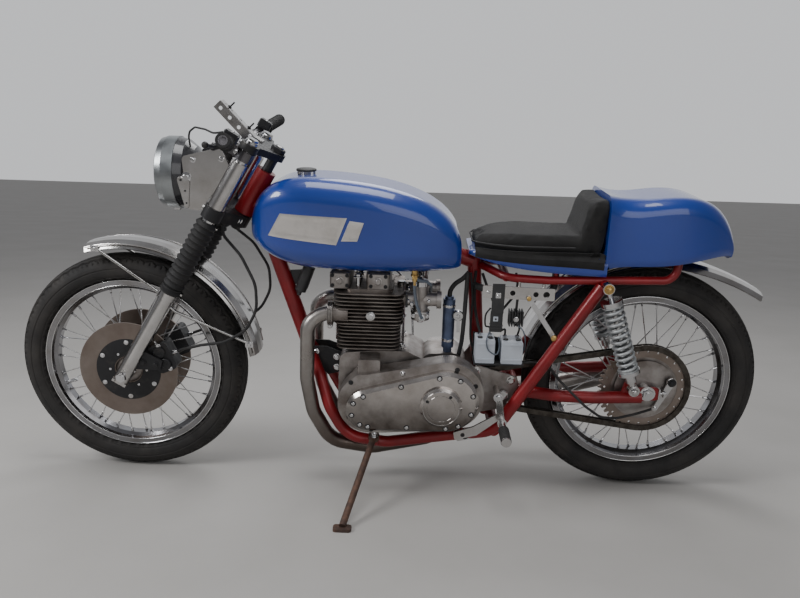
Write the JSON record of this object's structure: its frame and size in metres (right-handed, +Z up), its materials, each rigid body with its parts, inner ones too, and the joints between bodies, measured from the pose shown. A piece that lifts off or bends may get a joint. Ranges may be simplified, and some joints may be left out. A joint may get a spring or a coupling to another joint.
{
  "type": "cafe racer motorcycle",
  "caption": "Cafe racer motorcycle leaning on its side stand, with low handlebars, a finned engine, wire wheels, a long tank and a single seat with a tail hump.",
  "frame": {"origin": "bottom centre of the bounding box, on the floor", "axes": "+X to the rear of the machine, +Y to the right of a rider, +Z up; the machine leans 8.3 degrees towards -Y"},
  "size_m": [2.113, 0.7212, 1.0668],
  "materials": {
    "tyre": "matt",
    "chrome": "polished",
    "spoke_steel": "bright",
    "cast_alloy": "as cast",
    "polished_alloy": "polished",
    "fin_alloy": "dull, heat stained",
    "disc_steel": "worn",
    "rubber": "matt",
    "black_metal": "satin",
    "dark_shell": "gloss",
    "lens": "clear",
    "red_paint": "gloss",
    "spring_paint": "satin",
    "chain_steel": "oiled",
    "pipe_steel": "dull",
    "black_plastic": "satin",
    "pale_plastic": "satin",
    "blue_metal": "dull",
    "blue_paint": "high gloss",
    "seat_cloth": "matt",
    "bare_iron": "rusty",
    "brushed_strut": "dull"
  },
  "bodies": {
    "frame": {"brake_plate": "cast_alloy", "breather_bottle": "blue_metal", "carburettors": "cast_alloy", "clutch_cover": "polished_alloy", "crankcase": "cast_alloy", "cylinder_block": "fin_alloy", "cylinder_head": "fin_alloy", "drive_chain": "chain_steel", "electrics_boxes": "pale_plastic", "electrics_plate": "polished_alloy", "electrics_tray": "black_metal", "engine_plates": "cast_alloy", "exhaust_pipes": "pipe_steel", "filler_cap": "black_plastic", "footrests": "polished_alloy", "fuel_tank": "blue_paint", "ignition_coils": "black_plastic", "main_frame": "red_paint", "primary_cover": "polished_alloy", "rear_axle": "chrome", "rear_brake_cable": "rubber", "rear_frame": "red_paint", "rear_mudguard": "polished_alloy", "rocker_boxes": "cast_alloy", "seat_pad": "seat_cloth", "seat_strut": "brushed_strut", "seat_unit": "blue_paint", "shock_absorbers": "chrome", "shock_springs": "spring_paint", "silencer": "pipe_steel", "swing_arm": "red_paint", "timing_cover": "polished_alloy"},
    "front_wheel": {"front_tyre": "tyre", "front_rim": "chrome", "front_spokes": "spoke_steel", "front_hub": "cast_alloy", "front_discs": "disc_steel"},
    "rear_wheel": {"rear_tyre": "tyre", "rear_rim": "chrome", "rear_spokes": "spoke_steel", "rear_hub": "cast_alloy", "rear_sprocket": "disc_steel"},
    "steering": {"fork_sliders": "polished_alloy", "stanchions": "chrome", "gaiters": "rubber", "lower_yoke": "black_metal", "upper_yoke": "black_metal", "clip_ons": "polished_alloy", "grips": "rubber", "levers": "black_metal", "headlamp_rim": "dark_shell", "headlamp_lens": "lens", "headlamp_shell": "dark_shell", "headlamp_brackets": "polished_alloy", "dash_bracket": "polished_alloy", "calipers": "black_metal", "front_axle": "chrome", "front_mudguard": "polished_alloy", "brake_hoses": "rubber"},
    "side_stand": {"side_stand": "bare_iron"}
  },
  "joints": [
    {"name": "steering_turn", "type": "hinge", "parent": "frame", "child": "steering", "pos_m": [-0.36543, 0.00819, 0.8288], "axis": [0.506, -0.1245, 0.8535], "range_deg": [-28, 28]},
    {"name": "front_wheel_spin", "type": "hinge", "parent": "steering", "child": "front_wheel", "pos_m": [-0.7295, 0.08179, 0.32427], "axis": [0, 0.9895, 0.1444], "continuous": true},
    {"name": "rear_wheel_spin", "type": "hinge", "parent": "frame", "child": "rear_wheel", "pos_m": [0.7255, 0.08122, 0.32823], "axis": [0, 0.9895, 0.1444], "continuous": true},
    {"name": "side_stand_swing", "type": "hinge", "parent": "frame", "child": "side_stand", "pos_m": [-0.0235, -0.02307, 0.15637], "axis": [0.05, -0.5185, 0.8536], "range_deg": [0, 95]}
  ]
}
